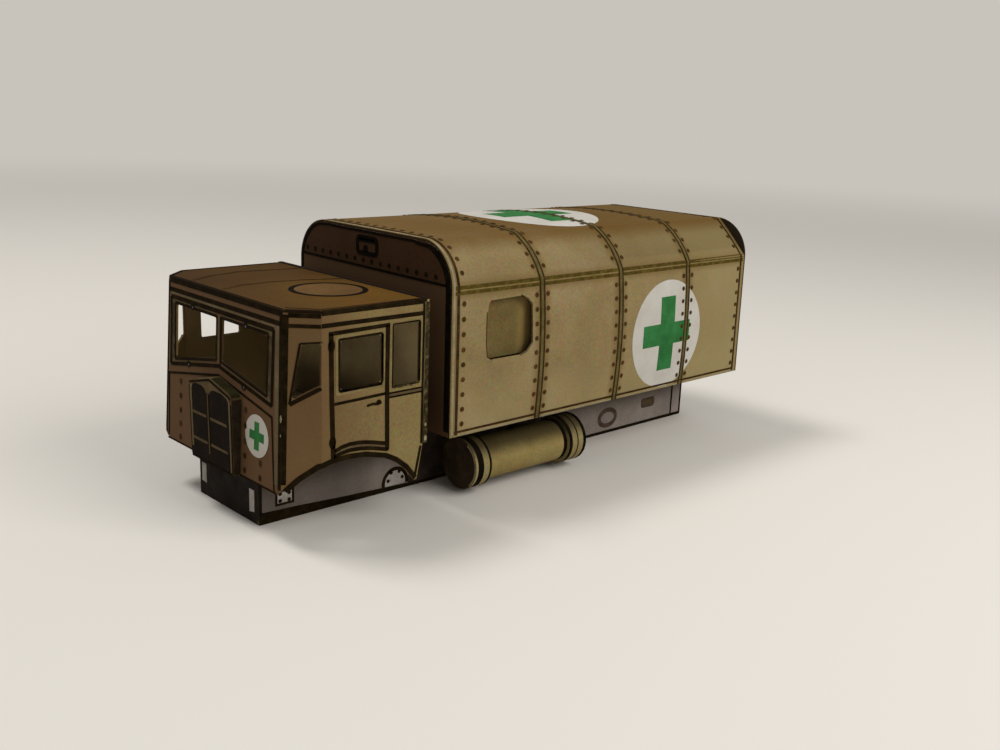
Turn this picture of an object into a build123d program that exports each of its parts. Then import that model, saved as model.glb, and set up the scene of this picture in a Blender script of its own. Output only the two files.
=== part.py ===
from build123d import *
import os

# Printed-card model of a forward-control ambulance truck, without wheels.
# Lengths in mm. While building, x = 0 is the body's front face, +X is forward,
# +Y is the vehicle's left and z = 0 is the table under the chassis box.
# The pieces are symmetric about y = 0.

# Card, the slip between glued pieces, and how far cutting shapes reach past what they cut
card = 0.25
slip = 0.01
margin = 2.0

# Body and chassis lengths
body_length = 60.0
chassis_front_x = 21.0
chassis_rear_x = -body_length + 0.9
chassis_half_width = 7.04
chassis_height = 9.25

# Cab, outside sizes
cab_top = 26.86
cab_front_bottom = 5.9
cab_front_top_x = 21.24
cab_front_bottom_x = 22.16
cab_front_half_top = 13.08
cab_front_half_bottom = 13.70
cab_fold_x = 18.2
cab_half_width = 15.89
cab_rear_x = 3.82
cab_back_thick = 0.6
cab_floor_half_width = 12.0

cab_corner_cut = 0.8
floor_gap = 0.05

# Grille box on the cab's front
grille_half_width = 4.95
grille_bottom = cab_front_bottom + 0.1
grille_shoulder = 15.55
grille_peak = 16.75
grille_depth_top = 1.5
grille_depth_bottom = 0.85
grille_corner_r = 1.0

# Body, outside sizes at its front end
body_bottom = chassis_height
body_half_bottom = 16.45
body_half_gutter = body_half_bottom - 0.25
body_gutter = 27.75
body_top = 33.07
body_flat_half = body_half_gutter - 5.25

# The skin bows between the stiff end panels, and its rear shoulders are pressed in.
# Columns: share of the length from the front, bow of the side, bow of the shoulder, crown of the roof
shoulder_bow = 1.39
front_draw = 0.03
skin_bows = [
    (0.00, 0.00, shoulder_bow, 0.00),
    (0.25, 0.50, 0.66, 0.70),
    (0.50, 0.58, 0.64, 0.80),
    (0.76, 0.42, 0.58, 0.55),
    (1.00, 0.00, 0.12, 0.00),
]

# Rolled tank under each side of the body
tank_y = 12.9
tank_z = 4.0
tank_front_x = -4.9
tank_rear_x = -25.5
tank_tube_r = 2.85
tank_band_r = 3.35
band_front_length = 2.7
band_rear_length = 3.3
hanger_thick = 1.0
hanger_height = 2.4

# Openings in the cab's front panel, as (y, z) from the middle of its print, which sits a little to the right
front_print_shift = -0.5
windscreen = [(0.7, 23.6), (10.6, 23.6), (10.6, 16.8), (0.7, 18.75)]
windscreen_r = 0.4

# Openings in the cab's sides, as (x, z)
quarter_light = [(18.23, 23.35), (19.85, 23.15), (20.9, 16.85), (18.23, 18.6)]
door_window = [(10.15, 17.8), (15.75, 17.75), (15.8, 23.35), (10.2, 23.45)]
door_window_r = 0.35
rear_light = [(4.65, 17.1), (8.4, 17.0), (8.4, 24.3), (4.7, 24.35)]
rear_light_r = 0.25

# The cab side's lower edge, as (x, z): wheel arch from the front corner back
arch = [(21.7, 6.2), (20.3, 7.6), (18.4, 9.05), (16.8, 9.4), (14.7, 9.5),
        (12.3, 9.3), (9.4, 8.55), (7.9, 7.75), (6.4, 6.55), (4.95, 4.85)]
tail_tip = (4.6, 4.9)
tail_break_z = 8.95

# Window in each body side, cut by hand with rough corners, as (x, z)
body_window = [(-5.75, 18.8), (-6.45, 18.4), (-11.2, 18.42), (-12.3, 18.8), (-13.25, 19.8), (-13.15, 24.7),
               (-12.6, 25.3), (-11.4, 25.95), (-6.25, 25.8), (-5.85, 25.3), (-5.5, 23.2), (-5.5, 20.3)]

# Card pane set back behind each body window, as (x, z): it leaves a narrow gap behind it and below it,
# and its front strip stands on the body floor, behind the skin
pane_setback = 0.85
pane_y = body_half_gutter - pane_setback
pane_foot = body_bottom + slip + card + slip
pane = [(-3.6, pane_foot), (-6.0, pane_foot), (-6.0, 18.2), (-13.2, 18.2), (-14.45, 19.7), (-14.5, 26.5), (-3.6, 26.5)]

os.makedirs("parts", exist_ok=True)

# The origin is under the middle of the bounding box
rear_x = -body_length - card
grille_front_x = cab_front_bottom_x + grille_depth_top
rake = (cab_front_top_x - cab_front_bottom_x) / (cab_top - cab_front_bottom)


def cab_front_x(z):
    return cab_front_bottom_x + rake * (z - cab_front_bottom)


front_x = cab_front_x(grille_peak) + grille_depth_top
to_origin = Location((-(front_x + rear_x) / 2, 0, 0))


def save(shape, name):
    solids = shape.solids()
    assert len(solids) == 1, (name, len(solids))
    export_step(to_origin * solids[0], f"parts/{name}.step")


def side_prism(points, y0, y1, radius=0):
    # A solid between y0 and y1 whose outline is given as (x, z)
    outline = make_face(Polyline(*[(x, z) for x, z in points], close=True))
    if radius:
        outline = fillet(outline.vertices(), radius)
    plane = Plane(origin=(0, y0, 0), x_dir=(1, 0, 0), z_dir=(0, -1, 0))
    return extrude(plane * outline, -(y1 - y0))


def front_prism(points, x0, x1, radius=0, corners=None):
    # A solid between x0 and x1 whose outline is given as (y, z)
    outline = make_face(Polyline(*[(y, z) for y, z in points], close=True))
    if radius:
        chosen = outline.vertices()
        if corners is not None:
            chosen = [v for v in chosen if any(abs(v.X - y) + abs(v.Y - z) < 1e-6 for y, z in corners)]
        outline = fillet(chosen, radius)
    plane = Plane(origin=(x0, 0, 0), x_dir=(0, 1, 0), z_dir=(1, 0, 0))
    return extrude(plane * outline, x1 - x0)


def block(x0, x1, y0, y1, z0, z1):
    return Pos((x0 + x1) / 2, (y0 + y1) / 2, (z0 + z1) / 2) * Box(x1 - x0, y1 - y0, z1 - z0)


# Chassis: a long rectangular tube of card with a plate on each end
c = chassis_half_width
tube = block(chassis_rear_x + card, chassis_front_x - card, -c, c, 0, chassis_height)
tube -= block(chassis_rear_x, chassis_front_x, -c + card, c - card, card, chassis_height - card)
save(tube, "chassis_box")
save(block(chassis_front_x - card, chassis_front_x, -c, c, 0, chassis_height), "chassis_front")
save(block(chassis_rear_x, chassis_rear_x + card, -c, c, 0, chassis_height), "chassis_rear")


# Cab shell: front, angled quarters and sides in one folded strip
def cab_section(z, inset):
    share = (z - cab_front_bottom) / (cab_top - cab_front_bottom)
    x = cab_front_x(z) - inset
    w = cab_front_half_bottom + share * (cab_front_half_top - cab_front_half_bottom) - inset * 0.75
    s = cab_half_width - inset
    f = cab_fold_x - inset * 0.45
    r = cab_rear_x - (1.0 if inset else 0)
    points = [(x, -w), (x, w), (f, s), (r, s), (r, -s), (f, -s)]
    return Pos(0, 0, z) * make_face(Polyline(*points, close=True))


low, high = tail_tip[1] - margin, cab_top - card
outer = loft([cab_section(low, 0), cab_section(high, 0)], ruled=True)
inner = loft([cab_section(low - margin, card), cab_section(high + margin, card)], ruled=True)
shell = outer - inner

# Its lower edge: level across the front with cut corners, wheel arches at the sides
nose = cab_front_bottom_x + margin
far = cab_half_width + margin
corner_y = cab_front_half_bottom - cab_corner_cut
half = [(corner_y, cab_front_bottom), (cab_front_half_bottom, cab_front_bottom + cab_corner_cut),
        (far, cab_front_bottom + cab_corner_cut), (far, 0)]
front_edge = half + [(-y, z) for y, z in reversed(half)]
shell -= front_prism(front_edge, cab_front_bottom_x - 0.6, nose)
lower_edge = arch + [tail_tip, (cab_rear_x, tail_break_z), (cab_rear_x - margin, tail_break_z),
                     (cab_rear_x - margin, 0), (nose, 0), (nose, arch[0][1])]
for side in (1, -1):
    y0, y1 = sorted((side * corner_y, side * far))
    shell -= side_prism(lower_edge, y0, y1)
    y0, y1 = sorted((side * cab_floor_half_width, side * far))
    shell -= side_prism(quarter_light, y0, y1, 0.3)
    shell -= side_prism(door_window, y0, y1, door_window_r)
    if side > 0:  # no light shows through the right one in the photo, so it is printed and not cut
        shell -= side_prism(rear_light, y0, y1, rear_light_r)
    shown = [(side * y + front_print_shift, z) for y, z in windscreen]
    shell -= front_prism(shown, cab_fold_x + margin, nose, windscreen_r)
save(shell, "cab_shell")

# Cab roof, back and floor
roof = extrude(cab_section(cab_top - card, 0), card)
save(roof, "cab_roof")
b = cab_half_width + 0.12
save(block(cab_rear_x - cab_back_thick, cab_rear_x - slip, -b, b, chassis_height + slip, cab_top + 0.1), "cab_back")
f = cab_floor_half_width
floor_front = cab_front_x(chassis_height + card) - card - floor_gap
save(block(cab_rear_x, floor_front, -f, f, chassis_height + slip, chassis_height + slip + card), "cab_floor")


# Grille: a shallow folded box with a peaked top, open at the back
def grille_outline(inset):
    w = grille_half_width - inset
    s = grille_shoulder - inset
    bottom = grille_bottom + inset
    return [(-w, bottom), (w, bottom), (w, s), (0, grille_peak - inset), (-w, s)]


def grille_side(back, front):
    z0, z1 = grille_bottom - margin, grille_peak + margin
    span = grille_peak - grille_bottom

    def face_x(z):
        depth = grille_depth_bottom + (grille_depth_top - grille_depth_bottom) * (z - grille_bottom) / span
        return cab_front_x(z) + depth - front
    return [(cab_front_x(z0) + back, z0), (face_x(z0), z0), (face_x(z1), z1), (cab_front_x(z1) + back, z1)]


corner = [(w * (grille_half_width), grille_shoulder) for w in (-1, 1)]
inner_corner = [(w * (grille_half_width - card), grille_shoulder - card) for w in (-1, 1)]
near, past = cab_front_top_x - margin, cab_front_bottom_x + grille_depth_top + margin
wide = grille_half_width + margin
box_out = (front_prism(grille_outline(0), near, past, grille_corner_r, corner)
           & side_prism(grille_side(slip, 0), -wide, wide))
box_in = (front_prism(grille_outline(card), near, past, grille_corner_r - card, inner_corner)
          & side_prism(grille_side(-margin, card), -wide, wide))
save(box_out - box_in, "grille_box")


# Body: a profile of side, shoulder and roof arcs, each given by its bow
def bowed(a, b, bow):
    # The middle point of an arc from a to b, bowed away from the body's middle
    dy, dz = b[0] - a[0], b[1] - a[1]
    size = (dy * dy + dz * dz) ** 0.5
    return ((a[0] + b[0]) / 2 + bow * dz / size, (a[1] + b[1]) / 2 - bow * dy / size)


def body_profile(inset, side, shoulder, crown, drop=0):
    low = (body_half_bottom - inset, body_bottom - drop)
    gutter = (body_half_gutter - inset, body_gutter)
    flat = (body_flat_half, body_top - inset)
    mid_low = bowed(low, gutter, side)
    mid = bowed(gutter, flat, shoulder - inset * 0.3)
    mirror = [(-y, z) for y, z in (flat, mid, gutter, mid_low, low)]
    edges = [ThreePointArc(low, mid_low, gutter) if side else Line(low, gutter),
             ThreePointArc(gutter, mid, flat),
             ThreePointArc(flat, (0, flat[1] + crown), mirror[0]) if crown else Line(flat, mirror[0]),
             ThreePointArc(*mirror[0:3]),
             ThreePointArc(*mirror[2:5]) if side else Line(mirror[2], mirror[4]),
             Line(mirror[4], low)]
    return make_face(edges)


def at_x(x, face):
    return Plane(origin=(x, 0, 0), x_dir=(0, 1, 0), z_dir=(1, 0, 0)) * face


def skin_sections(inset, drop=0):
    # A hair of bow keeps every section made of arcs
    hair = 0.004
    return [at_x(-share * body_length, body_profile(inset, side or hair, shoulder, crown or hair, drop))
            for share, side, shoulder, crown in skin_bows]


skin = loft(skin_sections(0)) - loft(skin_sections(card, margin))
for side in (1, -1):
    y0, y1 = sorted((side * (body_half_gutter - margin), side * (body_half_bottom + margin)))
    skin -= side_prism(body_window, y0, y1)
save(skin, "body_skin")

# Body ends and floor: stiff panels with the round-shouldered profile.
# The skin draws in behind its front edge, so the front panel is a hair smaller again.
inside = card + slip
end_profile = (0, shoulder_bow, 0)
save(extrude(at_x(-card, body_profile(inside + front_draw, *end_profile)), card), "body_front")
save(extrude(at_x(-body_length - card, body_profile(0, *end_profile)), card - slip), "body_rear")
w = body_half_bottom - inside - slip
save(block(-body_length + slip, -inside, -w, w, body_bottom + slip, body_bottom + slip + card), "body_floor")
for side, word in ((1, "left"), (-1, "right")):
    y0, y1 = sorted((side * (pane_y - card), side * pane_y))
    save(side_prism(pane, y0, y1), f"window_pane_{word}")


# Tanks: a rolled tube with a wrapped band and a disc at each end, on two hangers
def ring(x0, x1, side, r_out, r_in=0):
    plane = Plane(origin=(x0, side * tank_y, tank_z), x_dir=(0, 1, 0), z_dir=(1, 0, 0))
    solid = extrude(plane * Circle(r_out), x1 - x0)
    if r_in:
        solid -= extrude(plane * Circle(r_in), x1 - x0)
    return solid


for side, word in ((1, "left"), (-1, "right")):
    save(ring(tank_rear_x, tank_front_x, side, tank_tube_r, tank_tube_r - card), f"tank_tube_{word}")
    save(ring(tank_front_x - band_front_length, tank_front_x, side, tank_band_r, tank_tube_r + slip), f"tank_band_front_{word}")
    save(ring(tank_rear_x, tank_rear_x + band_rear_length, side, tank_band_r, tank_tube_r + slip), f"tank_band_rear_{word}")
    disc = tank_tube_r - card - slip
    save(ring(tank_front_x - card, tank_front_x, side, disc), f"tank_end_front_{word}")
    save(ring(tank_rear_x, tank_rear_x + card, side, disc), f"tank_end_rear_{word}")
    for x, place in ((tank_front_x - band_front_length - 2.5, "front"), (tank_rear_x + band_rear_length + 2.5, "rear")):
        y0, y1 = chassis_half_width + slip, tank_y
        hanger = block(x - hanger_thick / 2, x + hanger_thick / 2, min(side * y0, side * y1), max(side * y0, side * y1),
                       tank_z - hanger_height / 2, tank_z + hanger_height / 2)
        hanger -= ring(x - 2, x + 2, side, tank_tube_r + slip)
        save(hanger, f"tank_hanger_{place}_{word}")
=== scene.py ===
from functools import partial
from math import ceil, cos, radians, sin

import bmesh
import bpy
from mathutils import Matrix, Vector
from mathutils.bvhtree import BVHTree


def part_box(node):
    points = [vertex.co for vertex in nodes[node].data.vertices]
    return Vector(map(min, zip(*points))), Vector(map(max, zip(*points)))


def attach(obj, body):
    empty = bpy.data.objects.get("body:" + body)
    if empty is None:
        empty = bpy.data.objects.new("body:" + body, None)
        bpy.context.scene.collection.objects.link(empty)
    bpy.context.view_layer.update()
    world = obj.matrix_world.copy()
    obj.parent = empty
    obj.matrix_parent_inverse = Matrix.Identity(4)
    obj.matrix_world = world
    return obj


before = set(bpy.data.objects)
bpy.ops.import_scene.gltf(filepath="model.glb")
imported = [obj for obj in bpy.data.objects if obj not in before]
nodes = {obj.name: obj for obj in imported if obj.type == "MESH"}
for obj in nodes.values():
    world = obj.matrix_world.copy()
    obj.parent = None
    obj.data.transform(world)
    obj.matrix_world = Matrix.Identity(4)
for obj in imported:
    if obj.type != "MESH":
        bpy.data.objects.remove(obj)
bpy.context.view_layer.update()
scene = bpy.context.scene
mm = 0.001
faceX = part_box("body_front")[1].x  # the body's front face, from which lengths along the truck are drawn
flanks = (("left", 1), ("right", -1))
print("frame loaded:", len(nodes), "card pieces")


def place(x, y, z):
    # Millimetres ahead of the body's front face, to the left, and above the table
    return Vector((faceX + x * mm, y * mm, z * mm))


# Paper and ink

def srgb(code):
    channels = [int(code[i:i + 2], 16) / 255 for i in (1, 3, 5)]
    return tuple(c / 12.92 if c <= 0.04045 else ((c + 0.055) / 1.055) ** 2.4 for c in channels) + (1,)


def addNode(tree, kind, links=None, values=None, **settings):
    # A link comes from an output, or from a node, whose first output is then meant
    node = tree.nodes.new("ShaderNode" + kind)
    for name, value in settings.items():
        setattr(node, name, value)
    for socket, value in (values or {}).items():
        node.inputs[socket].default_value = value
    for socket, source in (links or {}).items():
        tree.links.new(getattr(source, "outputs", [source])[0], node.inputs[socket])
    return node


paperLook = {
    "stain": 9.0,           # mm across the soft blotches of the printed olive
    "inkAt": (0.34, 0.5, 0.66),  # where in a blotch the darkest, middle and lightest ink lie
    "streak": (1.3, 14),    # mm wide and tall, upright bands that the printer leaves
    "streakAt": (0.45, 0.7),     # where in their noise the bands begin and are full
    "streakShare": 0.3,
    "grain": 0.27,          # mm, printed dots drawn coarse enough to show
    "grainShare": 0.45,
    "gridTone": "#8c8c8c",  # of the darker cells where a print has a grid
    "fibre": 0.35,          # mm, paper fibres drawn coarse enough to show
    "fibreHeight": 0.012,   # mm
    "bump": 0.5,
    "rough": 0.75,
    "shine": 0.05,
    "turn": 0.35,           # how squarely a face looks the printed way, as a cosine
    "other": "#ab9f84",     # faces and cut edges without ink
}


# Laser-printed matt card: soft blotches, faint upright bands, printed dots and a dull fibrous surface.
# 'inks' holds the darkest, middle and lightest colour of the print, and then the colour of its bands.
# 'printed' says which faces took the ink; the others and the cut edges are bare card. Each fade is
# another tone along the truck, as painted light and shade: its axis, where it begins and where it is
# full in mm, its share, its colour and, for one that keeps to the upper part, the height it stays above.
def printedCard(name, inks, printed=None, seams=None, grid=None, fades=(), **changes):
    look = {**paperLook, **changes}
    dark, middle, light, warm = (srgb(code) for code in inks.split())
    material = bpy.data.materials.new(name)
    material.use_nodes = True
    tree = material.node_tree
    add = partial(addNode, tree)
    spot = add("Mapping", {"Vector": add("TexCoord").outputs["Object"]},
               {"Location": (-faceX / mm, 0, 0), "Scale": (1 / mm,) * 3})
    part = add("SeparateXYZ", {0: spot}).outputs
    stain = add("TexNoise", {"Vector": spot}, {"Scale": 1 / look["stain"], "Detail": 4, "Roughness": 0.62})
    tone = add("ValToRGB", {0: stain})
    stops = tone.color_ramp.elements
    darkAt, middleAt, lightAt = look["inkAt"]
    stops[0].position, stops[0].color = darkAt, dark
    stops[1].position, stops[1].color = lightAt, light
    stops.new(middleAt).color = middle
    wide, tall = look["streak"]
    banded = add("Mapping", {"Vector": spot}, {"Scale": (1 / wide, 1 / wide, 1 / tall)})
    streak = add("TexNoise", {"Vector": banded}, {"Scale": 1, "Detail": 2})
    begins, full = look["streakAt"]
    bands = add("MapRange", {0: streak}, {1: begins, 2: full, 4: look["streakShare"]})
    colour = add("Mix", {0: bands, 6: tone}, {7: warm}, data_type="RGBA").outputs[2]
    grain = add("TexNoise", {"Vector": spot}, {"Scale": 1 / look["grain"], "Detail": 1})
    colour = add("Mix", {6: colour, 7: grain.outputs[1]}, {0: look["grainShare"]},
                 data_type="RGBA", blend_type="SOFT_LIGHT").outputs[2]
    if grid:  # fine crossed lines, as on a printed radiator mesh
        cells = add("TexChecker", {"Vector": spot},
                    {"Color1": (1, 1, 1, 1), "Color2": srgb(look["gridTone"]), "Scale": 1 / grid})
        colour = add("Mix", {6: colour, 7: cells}, {0: 1}, data_type="RGBA", blend_type="MULTIPLY").outputs[2]
    tones = []  # laid over the rest, each with how much of it shows: painted light and shade, and the seams' print
    for axis, begins, full, share, code, *above in fades:
        fade = add("MapRange", {0: part[axis]}, {1: begins, 2: full, 4: share},
                   interpolation_type="SMOOTHSTEP")
        if above:
            high = add("MapRange", {0: part[2]}, {1: above[0], 2: above[0] + 1})
            fade = add("Math", {0: fade, 1: high}, operation="MULTIPLY")
        tones.append((fade, code))
    if seams:  # the print is darker beside each panel seam and along the gutter
        along = add("Math", {0: part[0]}, {1: -seams["first"]})
        fromSeam = add("Math", {0: along}, {1: seams["pitch"] / 2}, operation="PINGPONG")
        over = add("Math", {0: part[2]}, {1: seams["gutter"]}, operation="SUBTRACT")
        fromGutter = add("Math", {0: over}, operation="ABSOLUTE")
        shades = [add("MapRange", {0: away}, {1: full, 2: ends, 3: seams["shade"], 4: 0},
                      interpolation_type="SMOOTHSTEP")
                  for away, (full, ends) in ((fromSeam, seams["reach"]), (fromGutter, seams["gutterReach"]))]
        shade = add("Math", {0: shades[0], 1: shades[1]}, operation="MAXIMUM")
        tones.append((shade, seams["colour"]))
    bare = {}
    if printed:
        normal = add("NewGeometry").outputs["Normal"]
        if printed == "skin":  # away from the body's middle line
            over = add("Math", {0: part[2]}, {1: look["bendsAbove"]}, operation="SUBTRACT")
            upward = add("Math", {0: over}, {1: 0}, operation="MAXIMUM")
            out = add("VectorMath", {0: add("CombineXYZ", {1: part[1], 2: upward})}, operation="NORMALIZE")
            facing = add("VectorMath", {0: normal, 1: out}, operation="DOT_PRODUCT").outputs["Value"]
        elif printed == "shell":  # ahead, or away from the cab's middle
            lean = add("SeparateXYZ", {0: normal}).outputs
            aside = add("Math", {0: add("Math", {0: part[1]}, operation="SIGN"), 1: lean[1]},
                        operation="MULTIPLY")
            facing = add("Math", {0: lean[0], 1: aside}, operation="MAXIMUM")
            level = add("Math", {0: add("Math", {0: lean[2]}, operation="ABSOLUTE")}, {1: look["level"]},
                        operation="GREATER_THAN")
            edges = add("Mix", {0: level}, {6: srgb(look["other"]), 7: srgb(look["edge"])}, data_type="RGBA")
            bare = {6: edges.outputs[2]}
            # painted shade: faces that look ahead take a darker tone
            begins, full = look["aheadAt"]
            ahead = add("MapRange", {0: lean[0]}, {1: begins, 2: full, 4: look["aheadShare"]})
            tones.append((ahead, look["ahead"]))
        else:  # one direction
            facing = add("VectorMath", {0: normal}, {1: printed}, operation="DOT_PRODUCT").outputs["Value"]
    for share, code in tones:
        colour = add("Mix", {0: share, 6: colour}, {7: srgb(code)}, data_type="RGBA").outputs[2]
    if printed:
        isPrinted = add("Math", {0: facing}, {1: look["turn"]}, operation="GREATER_THAN")
        colour = add("Mix", {0: isPrinted, 7: colour, **bare}, {6: srgb(look["other"])},
                     data_type="RGBA").outputs[2]
    fibre = add("TexNoise", {"Vector": spot}, {"Scale": 1 / look["fibre"], "Detail": 3, "Roughness": 0.6})
    bump = add("Bump", {"Height": fibre}, {"Strength": look["bump"], "Distance": look["fibreHeight"] * mm})
    shader = tree.nodes["Principled BSDF"]
    tree.links.new(colour, shader.inputs["Base Color"])
    tree.links.new(bump.outputs[0], shader.inputs["Normal"])
    shader.inputs["Roughness"].default_value = look["rough"]
    shader.inputs["Specular IOR Level"].default_value = look["shine"]
    return material


# Soft dark print beside the skin's seams: full and ended this many mm away from the line
seamShade = {"first": -15.1, "pitch": 15.2, "reach": (0.5, 1.9), "gutter": 27.45, "gutterReach": (0.4, 1.6),
             "shade": 0.5, "colour": "#5f4820"}
skinPrint = printedCard(
    "skinPrint", "#776745 #7f6e4a #867654 #86684a", "skin", seamShade,
    other="#33271a", shine=0.02, bendsAbove=22,  # mm, where its outside begins to look up
    # painted light and shade: lighter towards the rear and towards the bottom, darker on the shoulders
    # towards the rear and on the roof
    fades=[(0, -25, -60, 0.62, "#8a7c54"), (2, 19, 11, 0.25, "#988a61"),
           (0, -12, -38, 0.4, "#4f4020", 28.2), (2, 31, 33, 0.68, "#533608")])
shellPrint = printedCard(
    "shellPrint", "#73623f #796942 #807149 #806341", "shell", other="#9c8458",
    edge="#2b2114", level=0.6,  # cut edges that look up or down, darker
    ahead="#553b2b", aheadAt=(0.9, 0.98), aheadShare=0.55,  # painted shade: faces looking ahead take the front's darker tone
    # painted shade: the shell is darker towards the front of the cab
    fades=[(0, 9, 19.5, 0.76, "#5a412a")])
# The cab roof: a darker, redder copy of the olive print as painted shade, darker still towards the far side
# and the front
shadedRoofPrint = printedCard(
    "shadedRoofPrint", "#503813 #563d15 #5a4118 #5c3a12", (0, 0, 1), streak=(6, 6), turn=0.5,
    other="#1d130a", shine=0.04, fades=[(1, 9, -9, 0.7, "#35210a"), (0, 12, 20.5, 0.5, "#33200b")])
# The body's front panel: a much darker copy of the olive print as painted shade, lighter below 28 mm as
# painted light against the cab's shadow
shadedBodyEndPrint = printedCard(
    "shadedBodyEndPrint", "#332112 #392514 #3e2918 #3d2311", (1, 0, 0), turn=0.5,
    fades=[(2, 28.1, 27.9, 1, "#4a3522")])
doorsPrint = printedCard("doorsPrint", "#71613c #786841 #7e6e48 #806240", (-1, 0, 0), other="#2a2116")
grilleCard = printedCard("grilleCard", "#4a3c29 #55462f #605139 #574029", stain=2.5)
chassisPrint = printedCard(
    "chassisPrint", "#7b726b #857b73 #8f857d #7f6f65", stain=7,
    # painted shade: darker towards the front, most at the front end under the cab, and darker upwards under
    # the overhang
    fades=[(0, -45, 4, 0.4, "#4f443a"), (0, 9, 20, 0.45, "#2a221b"), (2, 2.6, 6.4, 0.7, "#2a221b")])
chassisEndPrint = printedCard("chassisEndPrint", "#16120e #1f1a15 #29231d #251e17", stain=3)
tankPrint = printedCard(
    "tankPrint", "#7a6a40 #837345 #8c7c4f #856e44", streak=(1.1, 1.1), stain=4,
    # painted shade: darker towards the top, under the body
    fades=[(2, 4.4, 6.4, 0.85, "#1e170a")])
tankBandPrint = printedCard(
    "tankBandPrint", "#7a6c47 #82744e #8a7d57 #836f49", stain=3,
    # painted shade: darker towards the top, under the body
    fades=[(2, 4.6, 6.8, 0.85, "#241b0c")])
darkPrint = printedCard("darkPrint", "#221b12 #2d2318 #382e1f #33261a", stain=2.5)
panePrint = printedCard(
    "panePrint", "#5a4c2b #635430 #6b5c38 #67502e", stain=5, streak=(3, 6),
    # painted light: lighter towards its rear edge, against the shade of the window's edge
    fades=[(0, -11.2, -13.2, 0.6, "#957b48")])

# Lines and small parts of the print, which the toner covers more evenly
thin = {"stain": 1.2, "grain": 0.2, "shine": 0.02}
lineInk = printedCard("lineInk", "#110c04 #191206 #241a0b #20160a", **thin)
blackInk = printedCard("blackInk", "#090603 #0e0a05 #16100a #130c06", **thin)
ringInk = printedCard("ringInk", "#40302a #4a3a32 #56453c #4a362c", stain=1)
brownLineInk = printedCard("brownLineInk", "#291c0d #342412 #433119 #3b2512", **thin)
oliveInk = printedCard("oliveInk", "#3d310d #473a12 #58491d #4b3a14", stain=0.8, grain=0.3, streak=(0.7, 3))
seamInk = printedCard("seamInk", "#4b4221 #554c29 #605733 #574727", stain=2)
rivetInk = printedCard("rivetInk", "#32220b #3f2c0e #4e3816 #46290e", stain=0.8, grain=0.2)
bandInk = printedCard("bandInk", "#4a3d29 #52442e #5a4c34 #57452d", stain=3)
paleInk = printedCard("paleInk", "#776c50 #82775a #8d8266 #7f6f50", stain=2)
whiteInk = printedCard(
    "whiteInk", "#aca69c #b1ada3 #b6b2aa #b0a596", stain=5, streakShare=0.25, grainShare=0.15)
greenInk = printedCard(
    "greenInk", "#23592d #2a6434 #336f3d #33602f", stain=3, streakShare=0.25, grainShare=0.25)
meshInk = printedCard("meshInk", "#110a04 #1a1007 #24180b #201208", stain=1.6, grid=0.28)
paleStripInk = printedCard("paleStripInk", "#564932 #60533a #6b5e45 #63503a", stain=3)
paleBandInk = printedCard("paleBandInk", "#695b37 #736440 #7c6e49 #725f3b", stain=3)
gutterInk = printedCard("gutterInk", "#6b5a30 #746339 #7f6f46 #735a33", stain=1)
hatchInk = printedCard("hatchInk", "#51391e #573f21 #5d4525 #583b1b", stain=5, streak=(6, 6))
stoneInk = printedCard("stoneInk", "#3c3e42 #484b50 #56595f #45484e", stain=1)
grilleTopInk = printedCard("grilleTopInk", "#1d1a08 #25210b #302b10 #28230a", stain=1.5)
plateInk = printedCard("plateInk", "#8a847c #989189 #a59f98 #93877b", stain=2)
# painted shadow, laid on the chassis side under the body
paintedShadowInk = printedCard("paintedShadowInk", "#241c16 #2f2620 #3a302a #30241a", stain=3)

# Card that took no ink: even, with only its fibres, and dirty where a cut edge is worn; the cab back's inside
# also has painted shade
plain = {"stain": 6, "streakShare": 0.2, "grainShare": 0.15}
bareCard = printedCard("bareCard", "#99907a #a49c86 #aea792 #a39880", **plain)
insideCard = printedCard("insideCard", "#a49571 #b1a27d #bdae87 #aa986e", **plain)
# Inside of the cab's back: darker towards the bottom as painted shade, black along its top, and near black on
# its other faces and edges
cabBackCard = printedCard(
    "cabBackCard", "#a8956b #b6a277 #c3ae81 #af9869", (1, 0, 0), turn=0.5, other="#1a130c",
    fades=[(2, 17, 12.5, 0.75, "#33291a"), (2, 26.5, 26.7, 1, "#120d08")], **plain)
wornCard = printedCard(
    "wornCard", "#1f1809 #302813 #5b5134 #2d210d", stain=0.7, grain=0.3, streak=(0.6, 1.6))
print("card finishes ready:", len(bpy.data.materials))

cardFinish = {
    "body_skin": skinPrint, "body_front": shadedBodyEndPrint, "body_rear": doorsPrint, "body_floor": bareCard,
    "cab_shell": shellPrint, "cab_roof": shadedRoofPrint, "cab_back": cabBackCard, "cab_floor": insideCard,
    "grille_box": grilleCard, "chassis_box": chassisPrint, "chassis_front": chassisEndPrint,
    "chassis_rear": chassisEndPrint, "window_pane_left": panePrint, "window_pane_right": panePrint,
}
# the tanks' ends and hangers take the dark print as painted shade
tankFinish = {"tube": tankPrint, "band": tankBandPrint, "end": darkPrint, "hanger": darkPrint}
for name, card in nodes.items():
    finish = cardFinish.get(name) or tankFinish[name.split("_")[1]]
    for holder in card.material_slots:
        holder.link = "OBJECT"
        holder.material = finish


# Drawing on flat paper, in mm: u is across and v is up

def oblong(a, b, low, high):
    return [(a, low), (b, low), (b, high), (a, high)]


def arc(u, v, radius, degrees):
    return [(u + radius * cos(radians(t)), v + radius * sin(radians(t))) for t in degrees]


def grown(corners, by):
    # The corners of a shape moved out from its middle, each way by the same amount
    middle = sum((Vector(c) for c in corners), Vector((0, 0))) / len(corners)
    return [(u + (by if u > middle.x else -by), v + (by if v > middle.y else -by)) for u, v in corners]


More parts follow.
